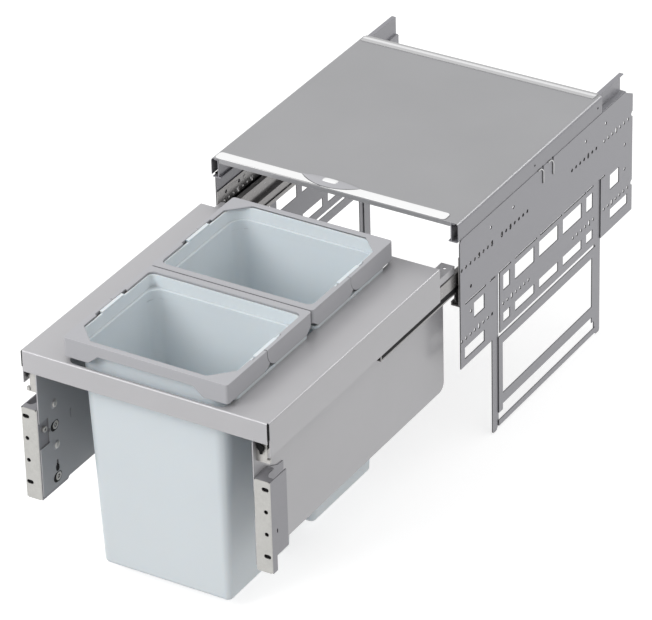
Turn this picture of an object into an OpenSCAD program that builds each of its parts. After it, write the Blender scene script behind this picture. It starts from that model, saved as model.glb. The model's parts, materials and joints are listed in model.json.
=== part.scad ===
// Pull-out waste unit for a base cabinet: two lift-out bins in a drawer on over-extension rails,
// a slide-out lid shelf above them, and two perforated side plates screwed to the cabinet sides.
// Millimetres. The drawer is drawn pulled out. The cabinet floor is z = 0.

/* [Cabinet frame] */
// Width over the outer faces of the two side plates
frame_w = 362; // [340:2:400]
// Height of the drawer deck above the cabinet floor
deck_h = 315; // [312:1:340]
// Length of a side plate
plate_l = 471; // [471:1:490]
// Thickness of the side plates, legs and steel rails
plate_t = 1.5; // [1.2:0.1:1.8]
// Top edge of a side plate above the deck
plate_up = 19; // [18:0.5:22]
// Bottom edge of a side plate below the deck
plate_down = 170; // [168:1:185]
// Setback of a plate's front edge behind the shut deck's front
plate_setback = 5; // [4:0.5:8]
// Diameter of the small plate holes
plate_hole_d = 5; // [4:0.1:5.4]
// Distance between neighbouring holes in a row
hole_pitch = 11.3; // [10.6:0.1:11.6]
// Clear width of a full window in the plate
window_w = 52; // [44:1:53]
// Web between two windows
window_web = 13.5; // [12.5:0.5:18]
// Width of a leg post
post_w = 25; // [20:1:28]

/* [Rails] */
// Travel of the drawer
travel = 450; // [400:5:452]
// Length of the cabinet rail
cab_rail_l = 460; // [455:1:466]
// Height of the cabinet rail
cab_rail_h = 72; // [70:0.5:74]
// Length of the middle rail
mid_rail_l = 422; // [415:1:424]
// Height of the middle rail
mid_rail_h = 28.5; // [27:0.5:30]
// Depth of the middle rail section
mid_rail_w = 7.5; // [7:0.5:9]
// Diameter of a drawer roller
roller_d = 24.6; // [22:0.1:25]
// Gap kept between pieces that slide past each other
run_gap = 0.3; // [0.25:0.05:0.5]

/* [Drawer] */
// Gap between the deck's side flange and the cabinet rail
deck_gap = 1; // [0.6:0.1:1.5]
// Depth of the deck
deck_d = 411; // [409:1:418]
// Thickness of the deck sheet
deck_t = 1.2; // [1:0.1:1.5]
// Outer radius of the deck's bends
deck_bend = 2.4; // [1.8:0.1:3]
// Height of the deck's front flange
deck_front_h = 30; // [26:1:36]
// Height of the deck's side flanges
deck_side_h = 48; // [40:1:50]
// Length of a drawer side
side_l = 457; // [440:1:458]
// Depth of a drawer side below the deck
side_h = 206; // [200:1:220]
// Thickness of a drawer side
side_t = 1.5; // [1.2:0.1:2]
// Corner radius at the rear bottom of a drawer side
side_r = 12; // [6:1:20]

/* [Front brackets] */
// Gap between a bracket and the side plate it passes
bracket_gap = 0.4; // [0.3:0.1:1.5]
// Top edge of a bracket below the deck
bracket_top = 80; // [79:0.5:84]
// Height of a bracket
bracket_h = 131; // [125:1:140]
// Front face of the brackets ahead of the deck's front
bracket_proud = 4.2; // [3:0.1:6]
// Pitch of the bracket's screw holes
bracket_pitch = 32; // [30:1:34]
// Diameter of the bracket's round screw holes
bracket_hole_d = 5.7; // [5:0.1:6]

/* [Bins] */
// Width of a bin's rim ring
ring_w = 234; // [230:1:238]
// Length of a bin's rim ring
ring_l = 194.5; // [192:0.5:196]
// Seam between the two rings
ring_seam = 2; // [2:0.1:3]
// Front of the front ring behind the deck's front
ring_inset = 7; // [6:0.5:9]
// Width of the bin body at deck level
bin_w = 210; // [200:1:211]
// Length of the bin body at deck level
bin_l = 169; // [166:1:170]
// Depth of the bin body below the deck
bin_depth = 303; // [280:1:306]
// Draft of the bin walls in degrees
bin_draft = 2.2; // [1:0.1:3]
// Wall thickness of the bin
bin_wall = 2.4; // [2:0.1:3]
// Corner radius of the bin body
bin_r = 20; // [16:1:24]
// Radius of the bin's bottom edge
bin_edge_r = 7; // [4:1:10]

/* [Bails] */
// Top of the rings above the deck
ring_top = 32; // [31.5:0.1:32.4]
// Underside of the rings above the deck
ring_low = 5; // [4.9:0.1:6]
// Thickness of a bail's top and skirt
bail_t = 2.5; // [2.2:0.1:3]
// Height of the bail pivots above the deck
pivot_h = 27; // [26.8:0.1:27.2]
// Distance of each bail pivot from the bin's middle
pivot_off = 16; // [15.5:0.5:17]
// Offset of the split between the two bails from the bin's middle
split_off = 6; // [5.5:0.1:6.5]
// Diameter of a bail pin
pin_d = 4.4; // [4:0.1:4.6]
// Width of the finger arch in the outer bail, at its top
arch_w = 136; // [100:2:150]
// Height of the finger arch above the deck
arch_h = 17; // [12:0.5:19]

/* [Lid shelf] */
// Gap between the lid's folded sides and the planes of the side plates
lid_gap = 0.3; // [0.3:0.1:1]
// Depth of the lid
lid_d = 386; // [376:1:392]
// Thickness of the lid sheet
lid_t = 1.2; // [1:0.1:1.5]
// Outer radius of the lid's side bends
lid_bend = 5; // [3:0.5:6]
// Height of the lid's folded sides
lid_fold = 25; // [22:0.5:25.5]
// Length of a top rail
top_rail_l = 456; // [450:1:462]
// Height of a top rail
top_rail_h = 26.9; // [26:0.1:28]
// Width of a top rail's flanges
top_rail_w = 9.7; // [9:0.1:11]
// Width of the front strip on the lid
strip_w = 17; // [16:0.5:20]
// Offset of the strip from the lid's middle
strip_off = -7.5; // [-8:0.5:8]
// Width of the grip tongue at the strip's rear edge
grip_w = 85; // [78:1:90]
// Depth of the grip tongue
grip_d = 16; // [12:0.5:17]
// Offset of the grip from the lid's middle
grip_off = -12.5; // [-20:0.5:20]

/* [Hidden] */
$fn = 48;
eps = 0.01;

// Inner face of the right side plate, and the outer faces of what hangs inside it
plate_in = frame_w / 2 - plate_t;
rail_in = plate_in - plate_t;
deck_half = rail_in - deck_gap;
deck_w = 2 * deck_half;
mid_out = deck_half - 3;
side_out = deck_half - 21.5;
side_in = side_out - side_t;
// Front edge of the side plates, with the drawer pulled out
frame_y = travel + plate_setback;
// Middle of the whole unit along its depth
mid_y = (frame_y + plate_l - bracket_proud) / 2;
// Cabinet rail: top and bottom edges, and the top of its bottom flange
cab_top = -6;
cab_low = cab_top - cab_rail_h;
cab_seat = cab_low + plate_t;
cab_flange_w = 12.5;
// Middle rail: top and bottom edges, and its front end with the drawer pulled out
mid_top = -31;
mid_low = mid_top - mid_rail_h;
mid_front = frame_y - 187;
// Drawer sides: flange that carries the deck, front and rear edges
side_top = -19;
side_y0 = -2;
side_y1 = side_y0 + side_l;
// Rollers run on the lower flange of the middle rail
roller_z = mid_low + plate_t + roller_d / 2 + run_gap;
roller_inset = 18;
roller_gauge = 150;
// Bins: middle of each ring, rim heights
bin_front_y = ring_inset + ring_l / 2;
bin_rear_y = bin_front_y + ring_l + ring_seam;
lip_top = ring_top - bail_t - run_gap;
ledge_z = 13;
ledge_h = 1.4;
flange_t = 4.5;
// Ring opening: side bands, outer end band and inner end band
band_side = 7.5;
band_outer = 8;
band_inner = 10;
ring_in_half = ring_w / 2 - band_side;
// The bin body sits under the middle of the ring's opening
bin_mid = (band_outer - band_inner) / 2;
lip_gap = 2.5;
// Bail arms: end disc, and the part above the pivot of the arm that gives way
arm_r = pivot_off + split_off;
arm_gap = 0.4;
arm_in = ring_w / 2 - 4.7;
ear_out = arm_in - run_gap;
ear_half = pivot_off + 8;
notch_half = ear_half + 10;
pin_end = ring_w / 2 - 1;
// Lid: top face, underside, front edge with the lid home
lid_w = frame_w + 2 * (lid_gap + lid_t);
rail_seat = plate_up;
rail_top = rail_seat + top_rail_h;
lid_under = rail_top + run_gap;
lid_top = lid_under + lid_t;
lid_y = frame_y - 6;
lid_low = lid_top - lid_fold;
top_rail_out = frame_w / 2 - 0.3;
strip_t = 1.2;
glide_l = 75;

// Everything below is drawn from the deck's front top edge and moved to the cabinet floor
module place() { translate([0, -mid_y, deck_h]) children(); }
module on_side(right) { if (right) children(); else mirror([1, 0, 0]) children(); }

// A plate of thickness t that lies in the YZ plane, its outer face at x
module yz_sheet(x, t) {
    translate([x - t, 0, 0]) rotate([90, 0, 90]) linear_extrude(t) children();
}
// A profile in the XZ plane pulled along Y from y0 over length l
module xz_bar(y0, l) {
    translate([0, y0 + l, 0]) rotate([90, 0, 0]) linear_extrude(l) children();
}
module rect(a0, b0, a1, b1) { translate([a0, b0]) square([a1 - a0, b1 - b0]); }
// Rectangle with one radius at all corners
module round_rect(a0, b0, a1, b1, r) {
    rect(a0 + r, b0, a1 - r, b1);
    rect(a0, b0 + r, a1, b1 - r);
    for (a = [a0 + r, a1 - r], b = [b0 + r, b1 - r]) translate([a, b]) circle(r);
}
// Slot of length l and width w along the first axis
module slot(l, w) {
    rect(-(l - w) / 2, -w / 2, (l - w) / 2, w / 2);
    for (s = [-1, 1]) translate([s * (l - w) / 2, 0]) circle(d = w);
}
// Centred rectangle whose corners have radius rf at its front and rb at its back
module frame_2d(half, y0, y1, rf, rb) {
    rect(-half, y0 + rf, half, y1 - rb);
    rect(-half + rf, y0, half - rf, y0 + rf + eps);
    rect(-half + rb, y1 - rb - eps, half - rb, y1);
    for (s = [-1, 1]) {
        translate([s * (half - rf), y0 + rf]) circle(rf);
        translate([s * (half - rb), y1 - rb]) circle(rb);
    }
}

// Rectangle with its front corners cut off by c and radius r at its back corners
module cut_rect(half, y0, y1, c, r) {
    polygon([[c - half, y0], [half - c, y0], [half, y0 + c], [half, y1 - r], [half - r, y1],
        [r - half, y1], [-half, y1 - r], [-half, y0 + c]]);
    for (s = [-1, 1]) translate([s * (half - r), y1 - r]) circle(r);
}
// Corner of a folded sheet of thickness t: l along the sheet, h down its flange, outer radius r
module corner_2d(l, h, t, r) {
    difference() {
        union() {
            rect(0, -h, l, -r);
            rect(r, -r - eps, l, 0);
            translate([r, -r]) circle(r);
        }
        union() {
            rect(t, -h - 1, l + 1, -r);
            rect(r, -r - 1, l + 1, -t);
            translate([r, -r]) circle(r - t);
        }
    }
}
// Sheet of the given half width with both sides folded down by h
module folded_2d(half, h, t, r) {
    for (right = [false, true]) on_side(right) translate([-half, 0]) corner_2d(half + eps, h, t, r);
}

// SIDE PLATE
// Rows of round holes, two of each group drawn up into slots, spaced along the plate from its front
upper_row = [[4, 8, 4, 7], [109, 7, 0, 2], [plate_l - 172, 7, 4, 4], [plate_l - 81, 7, 3, 3]];
lower_row = [[3, 8, 4, 4], [112, 7, 2, 2], [plate_l - 168, 6, 4, 4], [plate_l - 81, 7, 2, 2]];
upper_row_z = -26;
lower_row_z = -130;
// Each group is its first hole's place, its number of holes, and which two of them are slots
module hole_row(groups, z) {
    for (g = groups) for (i = [0 : g[1] - 1])
        translate([g[0] + i * hole_pitch, z])
            if (i == g[2] || i == g[3]) rotate(90) slot(plate_hole_d + 3.5, plate_hole_d);
            else circle(d = plate_hole_d);
}
// Row of windows: a narrow one at each end and three full ones between
module window_row(z0, z1) {
    end_w = 18;
    first = 112;
    rect(first, z0, first + end_w, z1);
    for (i = [0 : 2])
        translate([first + end_w + window_web + i * (window_w + window_web), 0])
            rect(0, z0, window_w, z1);
    last = first + end_w + 3 * window_w + 4 * window_web;
    rect(last, z0, last + end_w, z1);
}
// Guide slots that the leg posts show through: front and rear edges
guide_y = [[92.5, 103], [plate_l - 100, plate_l - 90]];
module side_plate_2d() {
    slit_top = -79;
    nose_r = 6;
    heel = [20, 10.5];
    rear = plate_l - 64;
    difference() {
        union() {
            rect(0, -plate_down, plate_l, plate_up - nose_r);
            rect(nose_r, 0, plate_l, plate_up);
            translate([nose_r, plate_up - nose_r]) circle(nose_r);
        }
        // Top edge cut down behind the top rail
        polygon([[plate_l - heel[0], plate_up + 1], [plate_l - heel[0], plate_up - 1.5],
            [plate_l + 1, plate_up - heel[1] - 2], [plate_l + 1, plate_up + 1]]);
        window_row(-111, -88);
        window_row(-158.5, -144.5);
        rect(35, -111, 62.5, -89);
        rect(10.5, -160, 62, -143);
        rect(rear, -109, rear + 26, -86);
        rect(rear + 1, -154, rear + 50.5, -139);
        // Guide slots, open at the bottom edge
        for (g = guide_y) rect(g[0], -plate_down - 1, g[1], slit_top);
        // Narrow slots that part the upper field from the lower one
        for (d = [[12, 66.5], [77, 94], [101, 133], [143.5, 203], [211.6, 271.6], [277, 338.6],
                [341, 360], [guide_y[1][0] + 1, guide_y[1][1] + 12]])
            translate([(d[0] + d[1]) / 2, slit_top]) slot(d[1] - d[0], 2.2);
        hole_row(upper_row, upper_row_z);
        hole_row(lower_row, lower_row_z);
        for (y = [80.5, 140, plate_l - 133.4, plate_l - 77]) translate([y, -1.5]) circle(d = plate_hole_d);
        for (y = [plate_screw_y0, plate_screw_y1], z = [plate_screw_z0, plate_screw_z1])
            translate([y, z]) circle(d = plate_screw_d);
        for (z = [-23, -128]) translate([plate_l, z]) circle(4);
        for (y = clip_y) rect(y - clip_play, clip_low, y + clip_w + clip_play, plate_up + 1);
    }
}
// Notches for the hooks that hold the top rail
clip_y = [218, 245];
clip_w = 2.2;
clip_low = -5;
clip_play = 0.5;
// Screw pattern that holds a plate on the cabinet side
plate_screw_d = 5;
plate_screw_y0 = 27.5;
plate_screw_y1 = plate_l - 22;
plate_screw_z0 = -97;
plate_screw_z1 = -60;
module side_plate() {
    color("darkgray") translate([0, frame_y, 0])
        yz_sheet(frame_w / 2, plate_t) side_plate_2d();
}

// LEG FRAME: two posts with feet behind the plate, joined by three bars that lie in the plate's plane
leg_y0 = 85;
leg_y1 = plate_l - 88.5;
leg_top = cab_low - run_gap - 1.7;
foot_w = 16;
bar_top = -plate_down - 5;
// Post with its foot, drawn from its outer edge
module post_2d() {
    polygon([[0, leg_top], [0, 2 - deck_h], [2, -deck_h], [10, -deck_h], [foot_w, 8 - deck_h], [foot_w, leg_top]]);
}
// Bars and the strips beside the posts
module bars_2d() {
    low_bar = [5 - deck_h, 13.5 - deck_h];
    mid_bar = [34 - deck_h, 50 - deck_h];
    strip_low = mid_bar[0] - 9;
    y0 = leg_y0 + foot_w - plate_t;
    y1 = leg_y1 - foot_w + plate_t;
    difference() {
        rect(y0, low_bar[0], y1, bar_top);
        rect(leg_y0 + post_w, mid_bar[1], leg_y1 - post_w, bar_top - 13.5);
        rect(leg_y0 + post_w, strip_low - eps, leg_y1 - post_w, mid_bar[0]);
        rect(y0 - 1, low_bar[1], y1 + 1, strip_low);
    }
}
module leg_frame() {
    color("darkgray") translate([0, frame_y, 0]) {
        yz_sheet(plate_in, plate_t) {
            translate([leg_y0, 0]) post_2d();
            translate([leg_y1, 0]) mirror([1, 0]) post_2d();
        }
        yz_sheet(frame_w / 2, plate_t + eps) bars_2d();
    }
}

// CABINET RAIL: web on the plate, bottom flange with a lip that the runner rides on
module cabinet_rail() {
    color("silver") translate([0, frame_y, 0]) {
        yz_sheet(plate_in, plate_t) difference() {
            rect(0, cab_low, cab_rail_l, cab_top);
            // Web cut down behind the rear guide slot
            rect(guide_y[1][1], plate_screw_z1 - 6, cab_rail_l + 1, cab_top + 1);
            hole_row(upper_row, upper_row_z);
            for (i = [0 : 4]) translate([20 + i * 32, cab_top - 9]) circle(d = 5);
            translate([plate_screw_y0, plate_screw_z1]) circle(d = plate_screw_d);
        }
        xz_bar(0, cab_rail_l) {
            rect(plate_in - cab_flange_w, cab_low, plate_in, cab_seat);
            rect(plate_in - cab_flange_w, cab_low, plate_in - cab_flange_w + plate_t, cab_seat + 4.5);
        }
    }
}
// Plastic liner along the rail's web and the buffer at its front end
module rail_buffer() {
    liner_t = 0.5;
    color("#202020") {
        translate([rail_in - liner_t, frame_y, plate_screw_z1 + plate_screw_d])
            cube([liner_t, guide_y[1][1] - 4, upper_row_z - plate_hole_d - plate_screw_z1 - plate_screw_d]);
        translate([rail_in - 3.4, frame_y, cab_seat + 5.5]) cube([3.4, 9, 20]);
    }
}

// MIDDLE RAIL: a channel open towards the drawer side
module middle_rail() {
    color("silver") xz_bar(mid_front, mid_rail_l) {
        rect(mid_out - plate_t, mid_low, mid_out, mid_top);
        rect(mid_out - mid_rail_w, mid_top - plate_t, mid_out, mid_top);
        rect(mid_out - mid_rail_w, mid_low, mid_out, mid_low + plate_t);
    }
}
// Glide block under the middle rail, running on the cabinet rail's flange
module runner() {
    inset = 5;
    color("#202020") translate([0, frame_y + inset, 0])
        xz_bar(0, mid_front + mid_rail_l - frame_y - 2 * inset) difference() {
            rect(plate_in - cab_flange_w + plate_t + run_gap, cab_seat + run_gap, mid_out, mid_low);
            rect(mid_out - 3.5, cab_seat + run_gap + 4, mid_out + 1, mid_low - 4);
        }
}

// DECK: folded sheet with the opening for the bins
module deck() {
    open_half = ring_w / 2 - 4;
    open_y0 = 4;
    open_y1 = deck_d - 9;
    relief = 2.4;
    color("gainsboro") {
        difference() {
            xz_bar(relief, deck_d - relief) folded_2d(deck_half, deck_side_h, deck_t, deck_bend);
            translate([0, 0, -2 * deck_t]) linear_extrude(3 * deck_t) frame_2d(open_half, open_y0, open_y1, 14, 14);
        }
        // Front flange, parted from the side flanges at the corners
        difference() {
            yz_sheet(deck_half - relief, deck_w - 2 * relief) corner_2d(relief + 4, deck_front_h, deck_t, deck_bend);
            translate([0, 0, -2 * deck_t]) linear_extrude(3 * deck_t) frame_2d(open_half, open_y0, open_y1, 14, 14);
        }
    }
}
// Folded bar between the deck and the flange of the drawer side
hanger_x = deck_half - 7;
module deck_hanger() {
    hanger_w = 12;
    color("silver") xz_bar(8, deck_d - 20) {
        rect(hanger_x - hanger_w, -deck_t - side_t, hanger_x, -deck_t);
        rect(hanger_x - side_t, side_top, hanger_x, -deck_t);
        rect(hanger_x - hanger_w, side_top, hanger_x, side_top + side_t);
    }
}

// DRAWER SIDE: folded sheet, flange outwards with a lip over the middle rail
module drawer_side() {
    lip = 10;
    flange_out = deck_half - 4;
    flange_y = deck_t + run_gap;
    color("darkgray") {
        yz_sheet(side_out, side_t) difference() {
            union() {
                rect(side_y0, -side_h + side_r, side_y1, side_top);
                rect(side_y0, -side_h, side_y1 - side_r, -side_h + side_r + eps);
                translate([side_y1 - side_r, -side_h + side_r]) circle(side_r);
            }
            // Corner cut for the deck's front flange
            rect(side_y0 - 1, -deck_front_h - run_gap, flange_y, side_top + 1);
            // Clearance of the cams that adjust the front bracket, and their guide slots
            for (z = bracket_cam_z) translate([cam_y, z]) slot(15.5, 12);
            translate([cam_y, -173.4]) rotate(90) slot(9, 4);
            // Notch for the bolt of the front bracket
            rect(side_y0 - 1, bolt_z - 25, bolt_y + 9, bolt_z + 12);
            translate([bolt_y + 9, bolt_z - 6.5]) circle(3);
        }
        // Round seats and a short rib pressed inwards
        for (z = [-87, -147]) translate([side_in - 0.8, cam_y, z]) rotate([0, 90, 0])
            cylinder(d1 = 10, d2 = 14, h = 0.8 + eps);
        translate([side_in + eps, 66, -120]) rotate([90, 0, -90]) linear_extrude(0.5 + eps)
            rotate(90) slot(13, 2.4);
        difference() {
            translate([side_out - eps, flange_y, side_top - side_t])
                cube([flange_out - side_out + eps, side_y1 - flange_y, side_t]);
            translate([(side_out + flange_out) / 2, side_y1 - 10, side_top - side_t - 1])
                cylinder(d = 5, h = side_t + 2);
        }
        translate([flange_out - side_t, flange_y, side_top - lip])
            cube([side_t, side_y1 - flange_y, lip - side_t + eps]);
    }
}
cam_y = 31;
bracket_cam_z = [-118, -193];
bolt_y = 8;
bolt_z = -112;

// Drawer rollers on their axles, inside the middle rail
module rollers() {
    roller_w = 5.2;
    roller_x = mid_out - plate_t - run_gap - roller_w;
    roller_y = [side_y1 - roller_inset - roller_gauge, side_y1 - roller_inset];
    for (y = roller_y) translate([0, y, roller_z]) rotate([0, 90, 0]) {
        color("#202020") translate([0, 0, roller_x]) difference() {
            cylinder(d = roller_d, h = roller_w);
            translate([0, 0, roller_w - 1]) cylinder(d = roller_d - 8, h = 2);
        }
        color("silver") translate([0, 0, side_out]) cylinder(d = 8, h = roller_x - side_out + eps);
    }
}

// CATCH: end plate of the drawer side with the black latch block behind it
module catch() {
    top = side_top - side_t;
    plate_h = 40;
    out = deck_half - 6;
    inner = side_out;
    color("gainsboro") translate([inner, 6, top - plate_h])
        cube([out - inner - 1, plate_t, plate_h]);
    color("gainsboro") translate([out - 1 - eps, 4.5, top - plate_h + 1])
        cube([4, 3 + plate_t, 5]);
    color("#202020") difference() {
        translate([inner, 6 + plate_t, top - plate_h + 6]) cube([9, 28, plate_h - 8]);
        translate([inner + 3, 12, top - plate_h + 12]) cube([7, 16, plate_h - 20]);
    }
}

// FRONT BRACKET: a folded box with the door screws in its face, adjusted on the drawer side
bracket_x0 = side_out;
bracket_x1 = plate_in - bracket_gap;
bracket_w = bracket_x1 - bracket_x0;
bracket_holes = [1.5, 0.5, -0.5, -1.5];
bracket_mid_z = -139.5;
screw_x = deck_half - 5;
bracket_low = -bracket_top - bracket_h;
wing_y = 62;
// Plan of the folded box: face, outer flange back to y_out, wing on the drawer side
module bracket_plan(y_out) {
    bend = 2;
    y0 = -bracket_proud;
    mid = (bracket_x0 + bracket_x1) / 2;
    difference() {
        union() {
            rect(bracket_x0 + bend, y0, bracket_x1 - bend, y0 + bend + eps);
            rect(bracket_x0, y0 + bend, mid, wing_y);
            rect(mid - eps, y0 + bend, bracket_x1, y_out);
            for (x = [bracket_x0 + bend, bracket_x1 - bend]) translate([x, y0 + bend]) circle(bend);
        }
        rect(bracket_x0 + plate_t, y0 + plate_t, bracket_x1 - plate_t, wing_y + 1);
    }
}
// Plan of the top flange: a strip behind the face and one along the wing, with a filleted inner corner
module bracket_top_2d() {
    front = 6;
    band = 11;
    back = 28;
    fillet = [6, 14];
    rect(bracket_x0 + 0.5, 0.5 - bracket_proud, bracket_x1 - 0.5, front);
    rect(bracket_x0 + 0.5, front - eps, bracket_x0 + band, back - 4);
    rect(bracket_x0 + 0.5, back - 4 - eps, bracket_x0 + band - 4, back);
    translate([bracket_x0 + band - 4, back - 4]) circle(4);
    difference() {
        rect(bracket_x0 + band - eps, front - eps, bracket_x0 + band + fillet[0], front + fillet[1]);
        translate([bracket_x0 + band + fillet[0], front + fillet[1]]) scale([fillet[0], fillet[1]]) circle(1);
    }
}
module front_bracket() {
    back = 33;
    short_back = 7;
    step_z = -189;
    slope_y = 26;
    slot_l = 4.1;
    color("#c8c6c0") difference() {
        union() {
            // Outer flange, stepped at the bottom
            translate([0, 0, bracket_low]) linear_extrude(step_z - bracket_low + eps) bracket_plan(short_back);
            translate([0, 0, step_z]) linear_extrude(-bracket_top - step_z) bracket_plan(back);
            translate([0, 0, -bracket_top - plate_t]) linear_extrude(plate_t) bracket_top_2d();
        }
        // Face with two slots and two round holes
        for (i = [0 : 3]) translate([screw_x, -bracket_proud - 1, bracket_mid_z + bracket_holes[i] * bracket_pitch])
            rotate([-90, 0, 0]) linear_extrude(plate_t + 2)
                if (i == 0 || i == 3) slot(bracket_hole_d + slot_l, bracket_hole_d);
                else circle(d = bracket_hole_d);
        // Bend reliefs at the corners of the face
        for (x = [bracket_x0 + 1.6, bracket_x1 - 1.6], z = [bracket_low, -bracket_top])
            translate([x, -bracket_proud - 1, z]) rotate([-90, 0, 0]) cylinder(d = 2.2, h = plate_t + 1.4, $fn = 16);
        translate([bracket_x1 - plate_t - 1, 9, -155]) rotate([90, 0, 90]) linear_extrude(plate_t + 2)
            rotate(90) slot(6, 2.2);
        // Wing: sloping top edge, cut bottom corners and the holes of the cams
        translate([bracket_x0 - 1, 0, 0]) rotate([90, 0, 90]) linear_extrude(plate_t + 2) {
            polygon([[slope_y + 2, 1 - bracket_top], [slope_y + 2, -bracket_top - plate_t - eps],
                [wing_y - 12, -bracket_top - 11], [wing_y + 1, -bracket_top - 12], [wing_y + 1, 1 - bracket_top]]);
            polygon([[wing_y - 10, bracket_low - 1], [wing_y + 1, bracket_low + 10], [wing_y + 1, bracket_low - 1]]);
            for (z = bracket_cam_z) translate([cam_y, z]) circle(d = 6);
            translate([bolt_y, bolt_z]) circle(d = 4.2);
        }
    }
}
// Cams that adjust the bracket, seen on the inner face of the drawer side, and the bolt in its notch
module adjuster() {
    head = 0.8;
    cam_d = 11.5;
    bolt_d = 4;
    wing_x = bracket_x0 + plate_t;
    color("silver") for (z = bracket_cam_z) translate([side_in - head, cam_y, z]) rotate([0, 90, 0]) {
        difference() {
            cylinder(d = cam_d, h = bracket_x0 - side_in + head);
            translate([0, 0, -eps]) cylinder(d = 5.5, h = 1.4);
        }
        translate([0, 0, 1.6]) cylinder(d = 5.6, h = wing_x - side_in + head + 0.4);
    }
    color("silver") translate([bracket_x0, bolt_y, bolt_z]) rotate([0, 90, 0]) {
        translate([0, 0, -3]) difference() {
            cylinder(d = 2 * bolt_d, h = 3);
            translate([0, 0, -eps]) cylinder(d = bolt_d, h = 1.6, $fn = 6);
        }
        cylinder(d = bolt_d, h = plate_t + 3);
        translate([0, 0, plate_t]) cylinder(d = 7, h = 2.4, $fn = 6);
    }
}

// BIN
// Slab of the bin's outline at height z, drawn in from the deck-level size by the inset
module bin_slab(z, inset, h = 0.4) {
    translate([0, bin_mid, z]) linear_extrude(h)
        round_rect(-bin_w / 2 + inset, -bin_l / 2 + inset, bin_w / 2 - inset, bin_l / 2 - inset,
            max(bin_r - inset, 2), $fn = 32);
}
function draft_at(depth) = depth * tan(bin_draft);
// Drafted solid with a rounded bottom edge: from the deck down to depth, drawn in by the inset
module bin_solid(depth, inset) {
    r = bin_edge_r;
    hull() {
        bin_slab(0, inset);
        for (a = [0 : 22.5 : 90])
            bin_slab(-depth + r * (1 - cos(a)), inset + draft_at(depth) + r * (1 - sin(a)), 0.1);
    }
}
// Opening of the ring; the outer end is at -y
module ring_opening() {
    cut_rect(ring_in_half, -ring_l / 2 + band_outer, ring_l / 2 - band_inner, 27, 9);
}
// Outline of the lip under the ring, drawn in all round by the inset
module lip_2d(inset) {
    frame_2d(ring_in_half - inset, -ring_l / 2 + band_outer + inset, ring_l / 2 - band_inner - inset,
        27 - inset, 9 - inset, $fn = 32);
}
// Upper part of the wall, from the ledge above the deck to the lip under the ring
module funnel(grow) {
    outside = grow > 0;
    hull() {
        translate([0, 0, lip_top - 0.2]) linear_extrude(outside ? 0.2 : 1.2) lip_2d(lip_gap - grow);
        translate([0, 0, outside ? ledge_z - 1 : ledge_z]) linear_extrude(0.1) lip_2d(lip_gap + ledge_h - grow);
        bin_slab(outside ? ledge_z - bin_wall - 1 : ledge_z - 0.7, outside ? 0 : bin_wall);
    }
}
module bin_body() {
    ear_t = ear_out - (ring_in_half - lip_gap) - 0.4;
    color("#d0d8dc") {
        difference() {
            union() {
                bin_solid(bin_depth, 0);
                translate([0, 0, 0.3]) bin_slab(0, 0, ledge_z - 0.5);
                funnel(bin_wall);
                // Rim flange that rests on the deck
                linear_extrude(flange_t)
                    round_rect(-ring_w / 2 + 0.6, -ring_l / 2 + 20, ring_w / 2 - 0.6, ring_l / 2 - 8, 6);
                // Ears of the bail pins
                for (s = [-1, 1]) translate([s * (ear_out - ear_t / 2), 0, (ledge_z + ring_top - 0.5) / 2])
                    cube([ear_t, 2 * ear_half, ring_top - 0.5 - ledge_z], center = true);
            }
            bin_solid(bin_depth - bin_wall, bin_wall);
            bin_slab(-0.1, bin_wall, ledge_z);
            funnel(0);
        }
        for (s = [-1, 1], p = [-1, 1]) translate([s * (ear_out - ear_t / 2), p * pivot_off, pivot_h])
            rotate([0, 90 * s, 0]) cylinder(d = pin_d, h = pin_end - ear_out + ear_t / 2);
    }
}

// BAILS: the two halves of the ring, each turning on a pair of pins
// Solid ring, hollow below its top
module ring_shell() {
    skirt_half = ring_w / 2;
    seam_low = 13;
    translate([0, 0, ring_low]) difference() {
        linear_extrude(ring_top - ring_low)
            frame_2d(skirt_half, -ring_l / 2, ring_l / 2, 4, 4);
        translate([0, 0, -1]) linear_extrude(ring_top - ring_low - bail_t + 1)
            frame_2d(skirt_half - bail_t, -ring_l / 2 + bail_t, ring_l / 2 - bail_t, 2, 2);
        translate([0, 0, -1]) linear_extrude(ring_top) ring_opening();
        // Finger arch in the outer end
        translate([0, -ring_l / 2 + bail_t + 1, -ring_low]) rotate([90, 0, 0]) linear_extrude(bail_t + 2)
            polygon([[-arch_w / 2 - 15, ring_low - 1], [-arch_w / 2, arch_h], [arch_w / 2, arch_h],
                [arch_w / 2 + 15, ring_low - 1]]);
        // Raised lower edge at the seam end
        translate([-ring_w, 0, -ring_low]) rotate([90, 0, 90]) linear_extrude(2 * ring_w)
            polygon([[ring_l / 2 - 14, ring_low - 1], [ring_l / 2 - 3, seam_low],
                [ring_l / 2 + 1, seam_low], [ring_l / 2 + 1, ring_low - 1]]);
    }
}
// Cheeks that thicken the arms about their pivots
module cheeks() {
    for (s = [-1, 1]) translate([s * (arm_in + ring_w / 2) / 2, 0, (ring_low + ring_top) / 2])
        cube([ring_w / 2 - arm_in, 2 * notch_half, ring_top - ring_low], center = true);
}
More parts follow.
